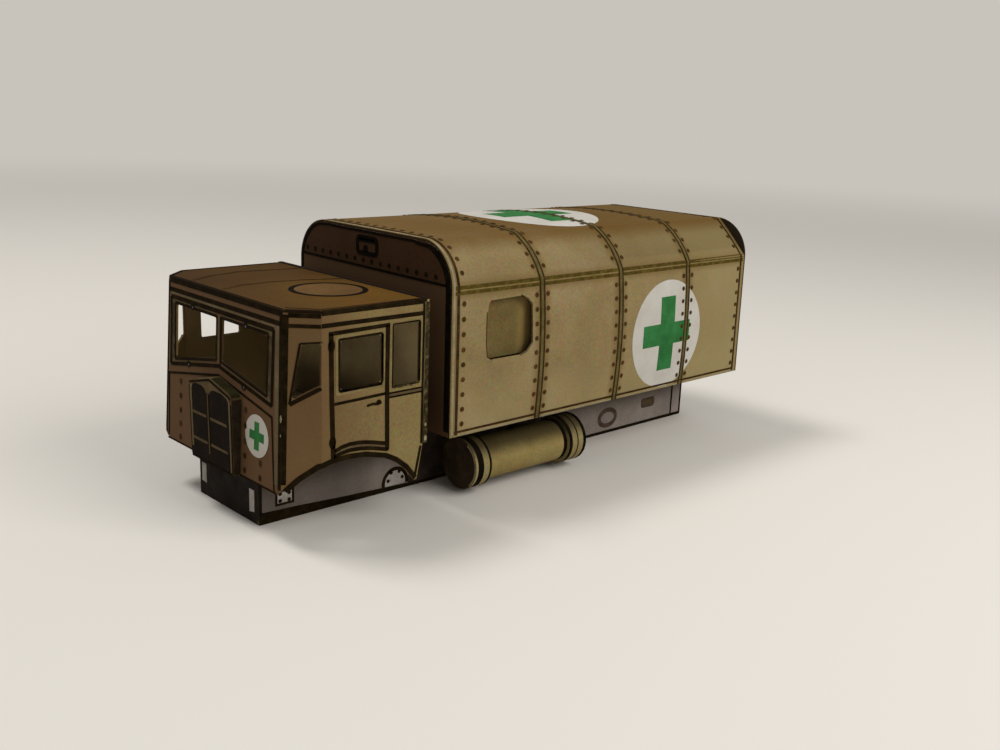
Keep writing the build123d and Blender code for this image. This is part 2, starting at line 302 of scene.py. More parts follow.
def spread(points, gap):
    line = [Vector(points[0])]
    for a, b in zip(points, points[1:]):
        a, b = Vector(a), Vector(b)
        count = max(1, ceil((b - a).length / gap))
        line += [a.lerp(b, i / count) for i in range(1, count + 1)]
    return line


def stroke(paper, points, width, gap=1.0):
    # A straight strip whose two long sides are moved beside the line, mitred at its corners
    line = spread(points, gap)
    last = len(line) - 1
    for corner in bmesh.ops.create_grid(paper, x_segments=last, y_segments=1, size=1)["verts"]:
        i = round((corner.co.x + 1) / 2 * last)
        into = (line[i] - line[i - 1]).normalized() if i else None
        out = (line[i + 1] - line[i]).normalized() if i < last else into
        into = into or out
        bend = (into + out).normalized()
        reach = corner.co.y * width / 2 / max(bend.dot(into), 0.5)
        corner.co = (line[i].x - bend.y * reach, line[i].y + bend.x * reach, 0)


def strokes(paper, lines, gap=1.0):
    # Each line is its width and then its points
    for width, *points in lines:
        stroke(paper, points, width, gap)


def sheet(paper, corners, radius=0, steps=4):
    # A flat shape from its corners, which are rounded where a radius is given
    verts = [paper.verts.new((u, v, 0)) for u, v in corners]
    face = paper.faces.new(verts)
    if radius:
        old = set(paper.faces) - {face}
        bmesh.ops.bevel(paper, geom=verts, offset=radius, segments=steps, profile=0.5, affect="VERTICES",
                        material=-1)
        face = (set(paper.faces) - old).pop()
    return face


def inset(paper, face, by):
    bmesh.ops.inset_region(paper, faces=[face], thickness=by, use_boundary=True, use_even_offset=True)


def outline(paper, corners, width, radius=0, steps=4):
    # The line just inside a shape's edge
    face = sheet(paper, corners, radius, steps)
    face.normal_update()
    inset(paper, face, width)
    bmesh.ops.delete(paper, geom=[face], context="FACES_ONLY")


def spot(paper, u, v, radius, stretch=1.0, sides=8):
    made = bmesh.ops.create_circle(paper, cap_ends=True, radius=radius, segments=sides,
                                   matrix=Matrix.Translation((u, v, 0)) @ Matrix.Diagonal((1, stretch, 1, 1)))
    return made["verts"][0].link_faces[0]


def ring(paper, u, v, radius, width, sides=48, stretch=1.0):
    face = spot(paper, u, v, radius, stretch, sides)
    inset(paper, face, width)
    bmesh.ops.delete(paper, geom=[face], context="FACES_ONLY")


def disc(paper, u, v, radius, sides=64, step=1.0):
    # Rings inside one another, so that the disc follows bowed card
    face = spot(paper, u, v, radius, sides=sides)
    for _ in range(int(radius / step) - 1):
        inset(paper, face, step)


def cross(paper, across, up, cuts=3):
    # across and up each hold the four places where the arms begin and end
    grid = bmesh.ops.create_grid(paper, x_segments=3, y_segments=3, size=1.5)["verts"]
    cells = {face for vert in grid for face in vert.link_faces}
    corners = [face for face in cells if all(abs(c) > 0.9 for c in face.calc_center_median()[:2])]
    for vert in grid:
        vert.co = (across[round(vert.co.x + 1.5)], up[round(vert.co.y + 1.5)], 0)
    kept = {edge for vert in grid for edge in vert.link_edges}
    bmesh.ops.delete(paper, geom=corners, context="FACES")
    kept = [edge for edge in kept if edge.is_valid]
    bmesh.ops.subdivide_edges(paper, edges=kept, cuts=cuts, use_grid_fill=True)


# Pressing a drawing on to the card. A view says where a point of the drawing starts, some millimetres
# clear of the card, and which way it goes.

film = {
    "lift": 0.004,   # mm between card and print
    "thick": 0.02,   # mm, thickened so that no card shows through on a bend
    "layer": 0.022,  # mm that a print over another print lies higher
    "reach": 17,     # mm, how far a drawing looks for the card
    "weld": 0.0005,  # mm, points nearer than this become one
}
roundZ = 18.0  # height of the middle of what is drawn round the body


def cardOf(*names):
    card = bmesh.new()
    for name in names:
        card.from_mesh(nodes[name].data)
    tree = BVHTree.FromBMesh(card)
    card.free()
    return tree


def fromFront(u, v):
    return place(34, u, v), Vector((-1, 0, 0))


def fromMiddle(u, v):  # just ahead of the body, behind the cab
    return place(2.5, u, v), Vector((-1, 0, 0))


def fromRear(u, v):
    return place(-70, u, v), Vector((1, 0, 0))


def fromTop(u, v, high=42):
    return place(u, v, high), Vector((0, 0, -1))


def fromSide(side, far, u, v):  # side is 1 on the left and -1 on the right
    return place(u, side * far, v), Vector((0, -side, 0))


def fromAround(middle, far, u, v):  # v in degrees about a line ahead, 0 on top and 90 on the left
    out = Vector((0, sin(radians(v)), cos(radians(v))))
    return place(u, *middle) + out * far * mm, -out


def beside(side, far=24):
    return partial(fromSide, side, far)


aroundBody = partial(fromAround, (0, roundZ), 30)


def press(name, paper, on, finish, layer=0):
    # 'on' holds the card, the view it is drawn from and the print's material slot
    card, view, slot = on
    height = (film["lift"] + layer * film["layer"]) * mm
    met, missed, extra = [], [], []
    for vert in paper.verts:
        start, along = view(vert.co.x, vert.co.y)
        hit, normal, _, _ = card.ray_cast(start, along, film["reach"] * mm)
        if hit is None:
            missed.append((vert, start, along))
        else:
            met.append((vert, hit, normal if normal.dot(along) < 0 else -normal, along))
    for vert, start, along in missed:  # a print's edge may pass the card's: it goes on in the same plane
        level = [m for m in met if m[2].dot(along) < -0.2] or met
        near = min(level, key=lambda m: (view(m[0].co.x, m[0].co.y)[0] - start).length)
        fall = (near[1] - start).dot(near[2]) / along.dot(near[2])
        extra.append((vert, start + along * fall, near[2], along))
    met += extra
    for vert, hit, normal, along in met:
        vert.co = hit + normal * height
    out = {vert: along for vert, _, _, along in met}
    bmesh.ops.remove_doubles(paper, verts=paper.verts, dist=film["weld"] * mm)
    paper.normal_update()
    turned = [f for f in paper.faces if f.normal.dot(out.get(f.verts[0], Vector())) > 0]
    bmesh.ops.reverse_faces(paper, faces=turned)
    mesh = bpy.data.meshes.new(name)
    paper.to_mesh(mesh)
    paper.free()
    mesh.materials.append(finish)
    piece = bpy.data.objects.new(name, mesh)
    scene.collection.objects.link(piece)
    thicken = piece.modifiers.new("film", "SOLIDIFY")
    thicken.thickness = film["thick"] * mm
    thicken.offset = 1
    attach(piece, "root")
    if missed:
        print("  ", name, "went past the card's edge at", len(missed), "points of", len(met))


def pressMarks(name, on, finish, layer=0, lines=(), sheets=(), spots=(), gap=1.0):
    paper = bmesh.new()
    strokes(paper, lines, gap)
    for corners in sheets:
        sheet(paper, corners)
    for mark in spots:
        spot(paper, *mark)
    press(name, paper, on, finish, layer)


def pressCross(discName, crossName, on, where, across, up, layer=0, sides=64, cuts=3):
    paper = bmesh.new()
    disc(paper, *where, sides)
    press(discName, paper, on, whiteInk, layer)
    arms = bmesh.new()
    cross(arms, across, up, cuts)
    press(crossName, arms, on, greenInk, layer + 1)


# Cab front: the flat raked panel with the windscreens and the grille

cabFrontLook = {
    "middle": -0.5,        # the print sits a little to the truck's right
    "topLines": [(0.5, (-13.0, 26.37), (13.0, 26.37)), (0.52, (-12.95, 25.3), (12.9, 25.3))],
    "frameTop": 24.4, "frameHalf": 11.85, "sill": (17.92, 15.82),
    "window": (0.7, 10.6, 23.6, 18.75, 16.8),  # near, far, top, low near, low far
    "windowOut": 0.36, "windowLine": (0.36, 0.35),  # how far off the cut edge, width and roundness
    "panelLine": (16.8, 14.55),                # its height in the middle and at the sides
    "edges": [(0.22, (-13.05, 6.02), (12.85, 6.02)), (0.62, (13.36, 6.6), (12.77, 26.5)),
              (0.36, (-13.46, 6.75), (-12.88, 26.5))],
    "paleStrips": [(0.78, (12.68, 7.0), (12.08, 25.0)), (0.26, (-13.12, 7.0), (-12.62, 24.9)),
                   (0.26, (-12.3, 24.85), (11.75, 24.85))],
    "rivetU": (-9.75, 5.9, 9.3), "rivetZ": (14.05, 12.2, 10.35, 8.6, 6.85),
    "rivet": (0.31, 1.25), "clip": (0.5, 0.8),      # radius and stretch upwards
    "wear": [(13.3, 14.8, 0.15, 3.2), (13.36, 12.9, 0.09, 2.0)],
    "disc": (8.4, 11.6, 2.5),
    "crossAcross": (6.85, 7.9, 8.9, 9.95), "crossUp": (9.95, 11.08, 12.12, 13.25),
    "clips": ((-7.77, 16.65), (5.35, 16.66), (-6.9, 23.9), (5.51, 23.8)),
    "eye": (0.05, 0.17),                       # off its clip's middle, and radius
}


def drawCabFront(look):
    card = cardOf("cab_shell", "cab_roof")
    front = card, fromFront, "cab_print"
    m, half, high = look["middle"], look["frameHalf"], look["frameTop"]
    near, far, top, lowNear, lowFar = look["window"]
    sillMid, sillOut = look["sill"]
    bands, lines = bmesh.new(), bmesh.new()
    for side in (-1, 1):  # bands over, beside and under each windscreen
        inner, outer, edge = m + side * near, m + side * far, m + side * half
        post = (edge + outer) / 2
        strokes(bands, [(0.6, (inner, top + 0.32), (edge, top + 0.32)), (0.6, (post, top), (post, lowFar)),
                        (0.5, (inner, lowNear - 0.25), (outer, lowFar - 0.25), (edge, lowFar - 0.5)),
                        (abs(edge - outer) - 0.05, (post, top), (post, lowFar))])
        window = [(inner, lowNear), (outer, lowFar), (outer, top), (inner, top)]
        outline(lines, grown(window, look["windowOut"]), *look["windowLine"])
    strokes(bands, [(0.8, (m - near + 0.42, top), (m - near + 0.42, lowNear)),
                    (0.4, (m + near - 0.2, top), (m + near - 0.2, lowNear))])
    press("cabFrontBands", bands, front, bandInk)
    strokes(lines, look["topLines"] + look["edges"])
    strokes(lines, [(0.52, (m + half, sillOut), (m + half, high)), (0.52, (m + half, high), (m - half, high)),
                    (0.52, (m - half, high), (m - half, sillOut)),
                    (0.46, (m - half, sillOut), (m, sillMid), (m + half, sillOut)),
                    (0.22, (m + 0.35, top + 0.3), (m + 0.35, sillMid))])  # dark line on the centre post
    middle, outer = look["panelLine"]
    stroke(lines, [(-12.85, 6.4), (-12.85, outer), (m, middle), (11.45, outer), (12.3, 6.05)], 0.28)
    press("cabFrontLines", lines, front, lineInk, 1)
    pressMarks("cabFrontPaleStrips", front, paleStripInk, lines=look["paleStrips"])
    discU, discV, radius = look["disc"]
    rivets = [(u, z, *look["rivet"]) for z in look["rivetZ"] for u in look["rivetU"]
              if u < discU or z < discV - radius]  # none under the disc
    pressMarks("cabFrontRivets", front, brownLineInk, 2, spots=rivets)
    pressMarks("cabCornerWear", (card, fromFront, "card_inside"), paleInk, 2, spots=look["wear"])
    pressCross("cabFrontDisc", "cabFrontCross", front, look["disc"], look["crossAcross"], look["crossUp"],
               layer=1, sides=40, cuts=1)
    off, small = look["eye"]
    clips = [(u, v, *look["clip"]) for u, v in look["clips"]]
    eyes = [(u + off, v - off, small) for u, v in look["clips"]]
    pressMarks("cabFrontClips", front, lineInk, 2, spots=clips)
    pressMarks("cabFrontClipEyes", front, stoneInk, 3, spots=eyes)


drawCabFront(cabFrontLook)
print("cab front drawn")


# Cab sides and the angled quarters ahead of them

cabSideLook = {
    "topLines": [(0.5, (18.2, 26.62), (3.9, 26.62)), (0.5, (18.2, 25.25), (3.9, 25.25))],
    "doorLines": [(0.62, (17.0, 24.3), (16.9, 16.8), (16.68, 9.95)),
                  (0.62, (9.25, 24.4), (9.28, 17.9), (9.12, 9.45)), (0.46, (17.3, 24.28), (8.95, 24.42))],
    "doorUpperArc": [(16.5, 10.74), (15.5, 11.06), (14.4, 11.2), (13.3, 11.16), (12.3, 11.03), (11, 10.75),
                     (9.4, 10.33)],
    "doorLowerArc": [(16.6, 10.1), (15.5, 10.34), (14.4, 10.48), (13, 10.4), (11.6, 10.17), (10.3, 9.85),
                     (9.0, 9.5)],
    "arcLine": 0.46, "arcBand": 0.45,  # width of the two arcs and of the band between them
    "waistBand": (0.4, (8.9, 16.05), (4.2, 16.05)),
    "waistLines": [(0.34, (16.63, 16.23), (13.06, 16.29), (9.45, 16.38)), (0.22, (9.0, 16.3), (4.1, 16.3)),
                   (0.22, (9.0, 15.8), (4.1, 15.8))],
    "rearLines": [(0.3, (4.0, 9.3), (4.0, 26.4)), (0.35, (4.85, 5.5), (4.1, 9.0))],
    "hinges": [(16.95, 22.9, 0.46, 1.7, 12), (16.78, 11.8, 0.46, 1.7, 12)],
    "handle": (0.3, (12.1, 15.32), (11.3, 15.42), (10.5, 15.3), (10.05, 15.45)),
    "handlePlate": (10.45, 15.55, 0.34, 0.8),
    "window": [(10.15, 17.8), (15.75, 17.75), (15.8, 23.35), (10.2, 23.45)],
    "rearLight": [(4.65, 17.1), (8.4, 17.0), (8.4, 24.3), (4.7, 24.35)],
    "paleFrames": {"window": (0.62, 0.34, 0.35), "rearLight": (0.4, 0.22, 0.3)},  # out, width, roundness
    "darkFrames": {"window": (0.26, 0.25, 0.3), "rearLight": (0.2, 0.19, 0.25)},
    "printedLight": "right",  # the rear window that is printed dark and not cut
    "shadedFrameSides": [(0.36, (4.56, 17.2), (4.6, 24.3)), (0.36, (9.96, 17.9), (10.02, 23.5)),
                   (0.36, (10.0, 17.66), (15.8, 17.6))],  # heavier lines on the two windows' frames where shade falls: painted shade
    # a printed dark line along the wheel arch, widened as painted shade under the arch's edge
    "arch": (0.62, (21.72, 6.55), (20.47, 7.82), (18.5, 9.3), (16.8, 9.67), (14.7, 9.77), (12.25, 9.57),
             (9.3, 8.82), (7.75, 8.0), (6.2, 6.78), (4.8, 5.1)),
    "backEdge": (3.23, 3.8, 9.35, 26.9),
    "backChips": [(3.5, 9.9, 0.22, 1.6), (3.52, 11.6, 0.16, 1.5), (3.52, 26.72, 0.2, 0.9)],
    "quarterCorner": (0.46, (21.86, 7.3), (21.03, 26.4)),
    "quarterLines": [(0.5, (18.25, 26.35), (20.85, 26.35)), (0.42, (18.25, 25.2), (20.9, 25.2)),
                     (0.46, (18.28, 18.3), (21.05, 16.45)), (0.2, (18.11, 23.47), (19.97, 23.27)),
                     (0.2, (19.97, 23.27), (21.0, 16.75))],
    "scratch": (0.16, (8.0, 16.9), (7.0, 16.85), (6.2, 16.92), (5.6, 16.8)),
    "chips": [(8.3, 17.0, 0.16), (5.0, 16.98, 0.14, 0.7)],
}


def drawCabSide(word, view, look):
    card, back = cardOf("cab_shell", "cab_roof"), cardOf("cab_back")
    cabSide = card, view, "cab_print"
    frames = bmesh.new()
    for name, (out, *line) in look["paleFrames"].items():
        outline(frames, grown(look[name], out), *line)
    press("cabWindowFrames_" + word, frames, cabSide, paleBandInk)
    upper, lower = look["doorUpperArc"], look["doorLowerArc"]
    band = [((u + u2) / 2, (v + v2) / 2) for (u, v), (u2, v2) in zip(upper, lower)]
    pressMarks("cabSideBands_" + word, cabSide, bandInk, lines=[(look["arcBand"], *band), look["waistBand"]])

    lines = bmesh.new()
    strokes(lines, look["topLines"] + look["doorLines"] + look["waistLines"] + look["rearLines"])
    strokes(lines, [(look["arcLine"], *upper), (look["arcLine"], *lower)])
    strokes(lines, [look["arch"]], gap=0.2)
    for name, (out, *line) in look["darkFrames"].items():
        outline(lines, grown(look[name], out), *line)
    strokes(lines, look["shadedFrameSides"])
    if look["printedLight"] == word:
        sheet(lines, look["rearLight"])
    for hinge in look["hinges"]:
        spot(lines, *hinge)
    press("cabSideLines_" + word, lines, cabSide, lineInk, 1)

    pressMarks("cabBackEdge_" + word, (back, view, "cab_print"), wornCard, sheets=[oblong(*look["backEdge"])])
    pressMarks("cabBackChips_" + word, (back, view, "card_inside"), paleInk, 1, spots=look["backChips"])
    pressMarks("doorHandle_" + word, cabSide, lineInk, 2, [look["handle"]], spots=[look["handlePlate"]],
               gap=0.3)
    quarter = bmesh.new()
    strokes(quarter, look["quarterLines"], gap=0.4)
    strokes(quarter, [look["quarterCorner"]], gap=0.6)
    press("cabQuarterLines_" + word, quarter, cabSide, lineInk, 1)
    pressMarks("cabSideChips_" + word, (card, view, "card_inside"), wornCard, 2, [look["scratch"]],
               spots=look["chips"], gap=0.3)


for word, side in flanks:
    drawCabSide(word, beside(side), cabSideLook)


# Cab roof: the hatch ring and the fine panel lines

cabRoofLook = {
    "hatch": (9.9, 5.0, 4.75), "ring": 0.66,  # middle and radius, and the width of its ring
    "ribs": [(0.4, (20.3, -8.5), (17.2, -10.26), (12.25, -11.5), (4.0, -10.2)),
             (0.4, (20.3, -1.3), (17.3, -2.6), (13.12, -2.85), (9.15, -2.32), (3.9, -0.6)),
             (0.26, (20.3, 12.0), (17.6, 14.9), (4.1, 15.2))],
    "edges": [(0.26, (21.05, -12.9), (21.05, 12.9)), (0.36, (18.1, 15.65), (4.0, 15.65)),
              (0.36, (18.1, -15.65), (4.0, -15.65)), (0.45, (18.15, 15.6), (20.95, 13.0)),
              (0.45, (18.15, -15.6), (20.95, -13.0))],
}


def drawCabRoof(look):
    roof = cardOf("cab_roof"), fromTop, "cab_print"
    pressMarks("cabRoofRibs", roof, brownLineInk, 1, look["ribs"])
    u, v, radius = look["hatch"]
    lines = bmesh.new()
    strokes(lines, look["edges"])
    ring(lines, u, v, radius, look["ring"])
    press("cabRoofLines", lines, roof, blackInk, 1)
    pressMarks("cabRoofHatch", roof, hatchInk, spots=[(u, v, radius - 0.1, 1.0, 48)])


drawCabRoof(cabRoofLook)
print("cab sides and roof drawn")


# Grille box: two mesh panels with light bars between

grilleLook = {
    "mesh": [[(-4.4, 6.35), (-0.8, 6.35), (-0.8, 14.55), (-1.3, 15.2), (-2.0, 15.45), (-3.5, 15.45),
              (-4.15, 15.15), (-4.4, 14.65)],
             [(4.25, 6.35), (-0.3, 6.35), (-0.3, 14.55), (0.2, 15.2), (0.9, 15.45), (3.35, 15.45),
              (4.0, 15.15), (4.25, 14.65)]],
    "bars": [(0.34, (-4.35, 11.8), (-1.0, 11.8)), (0.34, (-0.1, 11.8), (3.8, 11.8)),
             (0.34, (-4.35, 8.5), (-1.0, 8.5)), (0.34, (-0.1, 8.5), (3.8, 8.5)),
             (0.34, (-0.55, 7.2), (-0.55, 15.2))],
    "strips": [(0.38, (-4.62, 7.3), (-4.62, 14.7), (-4.35, 15.2)),
               (0.32, (4.5, 6.3), (4.5, 14.7), (4.1, 15.3), (2.8, 15.7))],
    "foot": [(-4.9, 6.1), (4.2, 6.1), (4.2, 8.2), (-0.2, 8.2), (-0.2, 7.2), (-0.8, 7.2), (-0.8, 8.2),
             (-4.9, 7.2)],
    "rim": [(0.26, (-4.9, 15.3), (0, 16.55), (4.9, 15.3)), (0.1, (-0.74, 6.3), (-0.74, 14.8)),
            (0.1, (-0.34, 6.3), (-0.34, 14.8)), (0.3, (-4.9, 6.1), (4.9, 6.1)),
            (0.24, (4.82, 6.3), (4.82, 14.6)), (0.14, (-4.92, 6.3), (-4.92, 14.9))],
    "topFace": (1.2, (22.42, 0.15), (22.42, 4.75)),
    "cheek": [(22.2, 6.06), (22.98, 6.06), (23.12, 14.5), (21.85, 14.5)],
    "cheekTop": (1.25, (22.45, 14.52), (22.45, 15.1)),
}


def drawGrille(look):
    card = cardOf("grille_box")
    front = card, fromFront, "cab_print"
    pressMarks("grilleMesh", front, meshInk, sheets=look["mesh"])
    pressMarks("grilleBars", front, bandInk, 1, look["bars"])
    pressMarks("grilleStrips", front, paleStripInk, 1, look["strips"])
    pressMarks("grilleFoot", front, meshInk, 2, sheets=[look["foot"]])
    pressMarks("grilleRim", front, lineInk, 2, look["rim"])
    above = partial(fromTop, high=20)
    pressMarks("grilleTop", (card, above, "cab_print"), grilleTopInk, lines=[look["topFace"]], gap=0.2)
    for word, side in flanks:
        pressMarks("grilleCheek_" + word, (card, beside(side, 8), "cab_print"), darkPrint,
                   lines=[look["cheekTop"]], sheets=[look["cheek"]], gap=0.15)


drawGrille(grilleLook)


# Chassis: grey-lilac print with a black lower edge, bolted plates, painted shade and sheets of painted shadow
# under the body, and a worn corner

chassisLook = {
    "bottomEdge": [(20.95, 0, 1.5), (15.5, 0, 1.3), (9.5, 0, 0.96), (-3.3, 0, 0.42), (-58.9, 0, 0.5)],
    "uprights": [(0.35, (20.8, 1.4), (20.8, 9.0)), (0.38, (-56.5, 0.4), (-56.5, 9.1)),
                 (0.4, (-58.85, 0.4), (-58.85, 9.1))],
    "plate": (16.35, 18.7, 2.0, 3.7), "plateOut": 0.12, "plateLine": 0.3,
    "plateBolts": ((18.15, 3.33), (16.91, 3.3), (18.16, 2.45), (16.92, 2.41)),
    "half": (0.95, 1.0, 1.9, range(-10, 191, 10)), "halfLine": 0.5,  # the round-topped plate
    "halfBolts": ((1.61, 2.45), (0.31, 2.4), (-0.21, 1.55), (2.08, 1.4)), "boltR": 0.26,
    "ring": (-40.6, 2.5, 2.25, 0.7, 32, 0.72),  # middle, radius, width, corners and share upwards
    "slot": (-52.0, -48.7, 2.6, 4.2), "slotLine": (0.36, 0.45), "slotFill": (-51.7, -49.0, 2.9, 3.9),
    "shades": [(-9.0, -1.2, 0.35, 9.1), (-26.0, -9.02, 4.0, 9.1)],  # painted shadow under the body and cab, ahead of the tank and behind it
    "frontStrips": [[(-6.5, 1.8), (-5.4, 1.7), (-5.4, 4.2), (-6.5, 4.2)],
                    [(4.9, 1.2), (6.0, 1.4), (6.0, 4.1), (4.9, 4.1)]],
    "wornCorner": (6.8, 0.32, 0.28, 1.1),
}


def drawChassis(word, view, look):
    flank = cardOf("chassis_box", "chassis_front", "chassis_rear"), view, "chassis_print"
    half, plate = arc(*look["half"]), oblong(*look["plate"])
    dark = bmesh.new()
    for (u, low, high), (u2, low2, high2) in zip(look["bottomEdge"], look["bottomEdge"][1:]):
        sheet(dark, [(u2, low2), (u, low), (u, high), (u2, high2)])
    strokes(dark, look["uprights"] + [(look["halfLine"], *half)])
    press("chassisDark_" + word, dark, flank, lineInk, 1)
    brown = bmesh.new()
    ring(brown, *look["ring"])
    outline(brown, oblong(*look["slot"]), *look["slotLine"])
    press("chassisBrown_" + word, brown, flank, ringInk, 1)
    pressMarks("chassisSlot_" + word, flank, bandInk, sheets=[oblong(*look["slotFill"])])
    pressMarks("chassisShade_" + word, flank, paintedShadowInk, sheets=[oblong(*shade) for shade in look["shades"]])
    pressMarks("chassisPlates_" + word, flank, plateInk, sheets=[half, plate])
    rims = bmesh.new()
    outline(rims, grown(plate, look["plateOut"]), look["plateLine"])
    for u, v in look["plateBolts"] + look["halfBolts"]:
        spot(rims, u, v, look["boltR"])
    press("chassisBolts_" + word, rims, flank, lineInk, 1)


def drawChassisFront(look):
    card = cardOf("chassis_front")
    pressMarks("chassisFrontStrips", (card, fromFront, "chassis_print"), plateInk, sheets=look["frontStrips"])
    pressMarks("chassisWornCorner", (card, fromFront, "card_inside"), wornCard, 1, spots=[look["wornCorner"]])


for word, side in flanks:
    drawChassis(word, beside(side), chassisLook)
drawChassisFront(chassisLook)
print("grille and chassis drawn")


# Body front panel: rivet row, line and the small vent ring above the cab

bodyFrontLook = {
    "ring": (-3.2, 1.6, 29.45, 32.1), "ringLine": (0.62, 0.85, 5),  # its width, roundness and steps
    "ringBar": (0.5, (-2.5, 31.45), (0.9, 31.45)),
    "vent": [(-1.67, 29.95), (-0.59, 29.95), (-0.75, 30.8), (-1.5, 30.8)],
    "rivets": ((-14.5, 28.95), (13.1, 28.75)), "rivetCount": 16, "rivetR": 0.34,
    "lines": [(0.32, (-15.3, 28.1), (15.15, 27.95)), (0.3, (-8.95, 32.55), (8.95, 32.55))],
    "corner": (10.51, 27.39), "turn": range(4, 77, 9),  # middle of the shoulder's arc, and its degrees
    "foot": 9.9, "endU": 9.0,   # where the border begins, and where it ends under the roof
    "nearBorder": (5.0, 0.92), "farBorder": (5.2, 0.42),  # radius of the arc and width of the line
    "taper": ((6, 0.82), (7, 0.64), (8, 0.48)), "thinnest": 0.3,  # share of the width from these points on
}


def drawBodyFront(look):
    panel = cardOf("body_front"), fromMiddle, "body_print"
    lines = bmesh.new()
    outline(lines, oblong(*look["ring"]), *look["ringLine"])
    sheet(lines, look["vent"])
    strokes(lines, [look["ringBar"], *look["lines"]])
    u, v = look["corner"]
    for side, (radius, width) in ((1, look["nearBorder"]), (-1, look["farBorder"])):
        bend = [(side * a, b) for a, b in arc(u, v, radius, look["turn"])]
        bend.append((side * look["endU"], v + radius + 0.05))
        stroke(lines, [(side * (u + radius + 0.25), look["foot"])] + bend[:7], width, gap=0.6)
        for i, share in look["taper"]:
            stroke(lines, bend[i:i + 2], max(width * share, look["thinnest"]), gap=0.6)
    press("bodyFrontLines", lines, panel, blackInk, 1)
    first, last = (Vector(end) for end in look["rivets"])
    row = [first.lerp(last, i / (look["rivetCount"] - 1)) for i in range(look["rivetCount"])]
    pressMarks("bodyFrontRivets", panel, lineInk, spots=[(*rivet, look["rivetR"]) for rivet in row])


drawBodyFront(bodyFrontLook)


# Body skin: borders, seams and rivets wrap over both shoulders

skinLook = {
    "seams": (-15.1, -30.5, -45.6), "seamHalf": 0.37, "seamLine": 0.27,
    "borders": (-1.0, -59.1), "borderLine": 0.4,
    "paleStrip": (-0.36, 0.34),        # beside the front edge
    "round": 117.4,                    # degrees to the skin's lower edge, each side
    "past": 0.6,                       # degrees that the seams go further
    "gap": 0.8,                        # degrees from point to point
    "rivetPitch": 1.87, "rivetOut": 1.0, "rivetR": 0.32,
    "endRivets": [-1.87, -58.48],      # where the rows beside the two borders lie
    "firstRivet": 10.8, "slack": 0.2,  # height of the lowest rivet, and how much lower one may fall
    "step": 0.1,                       # degrees from step to step of the walk over the card
    "gutter": (27.76, 27.13), "gutterLine": 0.44,
    "clearOfGutter": (26.5, 28.5),
    "footLine": (0.3, (-0.7, 9.85), (-59.3, 9.85)),
    "paleEdge": (0.16, (-0.7, 9.36), (-59.8, 9.36)),
    "sideDisc": (-41.25, 17.55, 7.95),
    "crossAcross": (-46.5, -42.8, -39.5, -35.7), "crossUp": (12.2, 16.0, 19.2, 23.1),
    "roofDisc": (-28.2, 0.0, 10.2), "roofCross": (0.67, 0.22),  # length and half width, of the radius
    # painted shade: thin dark lines along the windows' cut edges
    "windowEdges": [(0.12, (-11.35, 26.05), (-12.65, 25.4), (-13.25, 24.75), (-13.35, 19.75), (-12.38, 18.7),
                     (-11.25, 18.33)),
                    (0.12, (-5.6, 24.4), (-5.52, 23.1), (-5.5, 20.3), (-5.7, 18.8), (-6.4, 18.35))],
}
degreesInRadian = 57.3  # turns a length at the distance of one into degrees


def rivetAngles(card, u, look):
    # Where rivets at an even pitch fall on the way round, worked out by walking over the card
    angle, walked, last, found = look["round"], 0.0, None, []
    due = None
    while angle > -look["round"]:
        start, along = aroundBody(u, angle)
        hit = card.ray_cast(start, along, film["reach"] * mm)[0]
        if hit is not None:
            if last is not None:
                walked += (hit - last).length / mm
            last = hit
            if due is None and hit.z / mm >= look["firstRivet"]:
                due = walked
            if due is not None and walked >= due:
                due += look["rivetPitch"]
                low, high = look["clearOfGutter"]
                if not low < hit.z / mm < high:
                    found.append((angle, hit / mm))
                if hit.z / mm < look["firstRivet"] and angle < 0:
                    break
        angle -= look["step"]
    return [(angle, hit) for angle, hit in found if hit.z > look["firstRivet"] - look["slack"]]


def drawSkin(look):
    card = cardOf("body_skin")
    skin = card, aroundBody, "body_print"
    gap, end, past = look["gap"], look["round"], look["round"] + look["past"]
    borders = [(look["borderLine"], (u, -end), (u, end)) for u in look["borders"]]
    pressMarks("skinBorders", skin, brownLineInk, 1, borders, gap=gap)
    u, width = look["paleStrip"]
    pressMarks("skinPaleStrip", skin, paleInk, lines=[(width, (u, -end), (u, end))], gap=gap)
    line, half, out = look["seamLine"], look["seamHalf"], look["rivetOut"]
    seams = [(line, (u, -past), (u, past)) for m in look["seams"] for u in (m - half, m + half)]
    pressMarks("skinSeams", skin, brownLineInk, 2, seams, gap=gap)
    joints = [(2 * half, (u, -past), (u, past)) for u in look["seams"]]
    pressMarks("skinSeamStrips", skin, seamInk, 1, joints, gap=gap)
    rivets = []
    for u in [u for m in look["seams"] for u in (m - out, m + out)] + look["endRivets"]:
        for angle, hit in rivetAngles(card, u, look):
            # A rivet's height is in degrees here, so it is drawn through its own distance from the middle
            far = (hit.y ** 2 + (hit.z - roundZ) ** 2) ** 0.5
            rivets.append((u, angle, look["rivetR"], degreesInRadian / far))
    pressMarks("skinRivets", skin, rivetInk, 2, spots=rivets)


